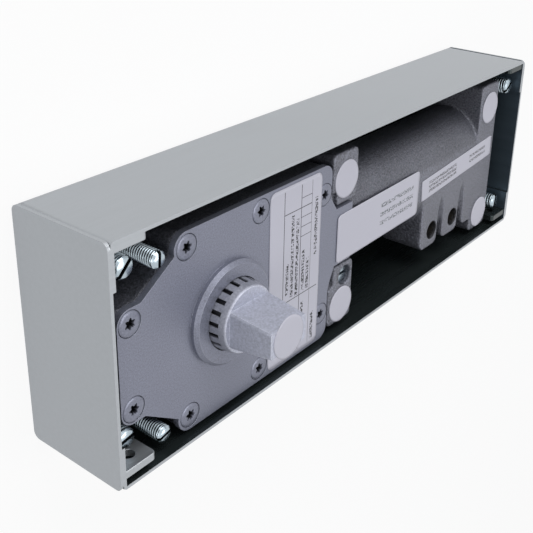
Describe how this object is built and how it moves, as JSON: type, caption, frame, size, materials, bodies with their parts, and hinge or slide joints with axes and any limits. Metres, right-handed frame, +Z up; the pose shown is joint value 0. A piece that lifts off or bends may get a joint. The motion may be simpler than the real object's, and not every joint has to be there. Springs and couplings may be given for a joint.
{
  "type": "floor spring door closer",
  "caption": "Floor spring door closer: a cast body with a bolted cover, a splined flat-cone spindle and a spring cylinder, standing in a folded zinc-plated cement box.",
  "frame": {"origin": "on the spindle axis, at the underside of the cement box", "axes": "+X along the box from the spindle towards the spring cylinder, +Z up out of the floor"},
  "size_m": [0.341, 0.108, 0.0822],
  "materials": {
    "box_sheet": "zinc-plated sheet",
    "zinc_parts": "bright zinc plate",
    "cast_body": "silver-grey paint on a casting",
    "cover_metal": "silver-grey paint",
    "spindle_steel": "satin",
    "bearing_steel": "ground",
    "machined_steel": "turned and ground",
    "spring_steel": "oiled",
    "valve_brass": "turned",
    "seal_rubber": "matt",
    "sticker": "matt"
  },
  "bodies": {
    "closer": {"cement_box": "box_sheet", "corner_lugs": "zinc_parts", "stud_nuts": "zinc_parts", "fixing_nuts": "zinc_parts", "fixing_screws": "zinc_parts", "closer_housing": "cast_body", "cover_gasket": "seal_rubber", "cover_plate": "cover_metal", "cover_screws": "cover_metal", "upper_bearing_shell": "bearing_steel", "lower_bearing_shell": "bearing_steel", "shaft_seal": "seal_rubber", "valve_seals": "seal_rubber", "end_plug": "machined_steel", "end_plug_seal": "seal_rubber", "closing_spring": "spring_steel", "foot_stickers": "sticker", "rating_label": "sticker", "notice_label": "sticker", "strip_label": "sticker"},
    "door_spindle": {"spindle": "spindle_steel", "spindle_bolt": "machined_steel", "spindle_sticker": "sticker", "cam_shaft": "machined_steel", "heart_cam": "machined_steel", "cam_key": "machined_steel"},
    "upper_needle_row": {"upper_bearing_needles": "bearing_steel"},
    "lower_needle_row": {"lower_bearing_needles": "bearing_steel"},
    "carriage": {"carriage_plates": "machined_steel", "carriage_screws": "machined_steel", "thrust_block": "machined_steel", "piston_rod": "machined_steel", "piston": "machined_steel", "piston_seal": "seal_rubber", "check_ball_cage": "valve_brass", "roller_pins": "machined_steel"},
    "front_cam_roller": {"front_roller": "machined_steel"},
    "rear_cam_roller": {"rear_roller": "machined_steel"},
    "oil_check_ball": {"check_ball": "bearing_steel"},
    "closing_speed_screw": {"closing_speed_valve": "valve_brass"},
    "latching_speed_screw": {"latching_speed_valve": "valve_brass"},
    "back_check_screw": {"back_check_valve": "zinc_parts"},
    "spring_force_screw": {"force_screw": "machined_steel"},
    "adjusting_plate": {"spring_plate": "machined_steel"},
    "levelling_screw_left": {"levelling_screw_1": "zinc_parts"},
    "levelling_screw_right": {"levelling_screw_2": "zinc_parts"},
    "cover_stud_near_left": {"cover_stud_1": "zinc_parts"},
    "cover_stud_near_right": {"cover_stud_2": "zinc_parts"},
    "cover_stud_far_left": {"cover_stud_3": "zinc_parts"},
    "cover_stud_far_right": {"cover_stud_4": "zinc_parts"}
  },
  "joints": [
    {"name": "spindle_turn", "type": "hinge", "parent": "closer", "child": "door_spindle", "pos_m": [0, 0, 0.06], "axis": [0, 0, 1], "range_deg": [0, 130], "stiffness_Nm_per_rad": 2.4, "springref_deg": -68.75},
    {"name": "upper_needles_roll", "type": "hinge", "parent": "closer", "child": "upper_needle_row", "pos_m": [0, 0, 0.043], "axis": [0, 0, 1], "range_deg": [0, 62]},
    {"name": "lower_needles_roll", "type": "hinge", "parent": "closer", "child": "lower_needle_row", "pos_m": [0, 0, 0.011], "axis": [0, 0, 1], "range_deg": [0, 59]},
    {"name": "carriage_slide", "type": "slide", "parent": "closer", "child": "carriage", "axis": [1, 0, 0], "range_m": [0, 0.011], "deforming": ["closing_spring"]},
    {"name": "front_roller_spin", "type": "hinge", "parent": "carriage", "child": "front_cam_roller", "pos_m": [0.021, 0, 0.0265], "axis": [0, 0, 1], "continuous": true},
    {"name": "rear_roller_spin", "type": "hinge", "parent": "carriage", "child": "rear_cam_roller", "pos_m": [-0.03623, 0, 0.0265], "axis": [0, 0, 1], "continuous": true},
    {"name": "check_ball_lift", "type": "slide", "parent": "carriage", "child": "oil_check_ball", "axis": [-1, 0, 0], "range_m": [0, 0.0008]},
    {"name": "closing_speed_turn", "type": "hinge", "parent": "closer", "child": "closing_speed_screw", "pos_m": [0.1795, -0.0265, 0.036], "axis": [0, 0, 1], "range_deg": [-180, 540]},
    {"name": "latching_speed_turn", "type": "hinge", "parent": "closer", "child": "latching_speed_screw", "pos_m": [0.2045, -0.0265, 0.036], "axis": [0, 0, 1], "range_deg": [-180, 540]},
    {"name": "back_check_turn", "type": "hinge", "parent": "closer", "child": "back_check_screw", "pos_m": [0.0892, -0.0194, 0.0435], "axis": [0, 0, 1], "range_deg": [-180, 360]},
    {"name": "spring_force_turn", "type": "hinge", "parent": "closer", "child": "spring_force_screw", "pos_m": [0.22, 0, 0.0265], "axis": [1, 0, 0], "range_deg": [-720, 720]},
    {"name": "adjusting_plate_slide", "type": "slide", "parent": "closer", "child": "adjusting_plate", "axis": [1, 0, 0], "range_m": [-0.003, 0.003], "deforming": ["closing_spring"]},
    {"name": "levelling_left_turn", "type": "hinge", "parent": "closer", "child": "levelling_screw_left", "pos_m": [-0.0405, 0.04, 0.03], "axis": [0, 0, 1], "range_deg": [-720, 720]},
    {"name": "levelling_right_turn", "type": "hinge", "parent": "closer", "child": "levelling_screw_right", "pos_m": [-0.0405, -0.04, 0.03], "axis": [0, 0, 1], "range_deg": [-720, 720]},
    {"name": "cover_stud_near_left_turn", "type": "hinge", "parent": "closer", "child": "cover_stud_near_left", "pos_m": [-0.057, 0.043, 0.03], "axis": [0, 0, 1], "range_deg": [-720, 720]},
    {"name": "cover_stud_near_right_turn", "type": "hinge", "parent": "closer", "child": "cover_stud_near_right", "pos_m": [-0.057, -0.035, 0.03], "axis": [0, 0, 1], "range_deg": [-720, 720]},
    {"name": "cover_stud_far_left_turn", "type": "hinge", "parent": "closer", "child": "cover_stud_far_left", "pos_m": [0.262, 0.043, 0.03], "axis": [0, 0, 1], "range_deg": [-720, 720]},
    {"name": "cover_stud_far_right_turn", "type": "hinge", "parent": "closer", "child": "cover_stud_far_right", "pos_m": [0.262, -0.035, 0.03], "axis": [0, 0, 1], "range_deg": [-720, 720]}
  ],
  "couplings": [
    {"joint": "carriage_slide", "follows": "spindle_turn", "m_per_rad": 0.0048481},
    {"joint": "upper_needles_roll", "follows": "spindle_turn", "ratio": 0.4707},
    {"joint": "lower_needles_roll", "follows": "spindle_turn", "ratio": 0.4484},
    {"joint": "adjusting_plate_slide", "follows": "spring_force_turn", "m_per_rad": 0.00023873}
  ]
}
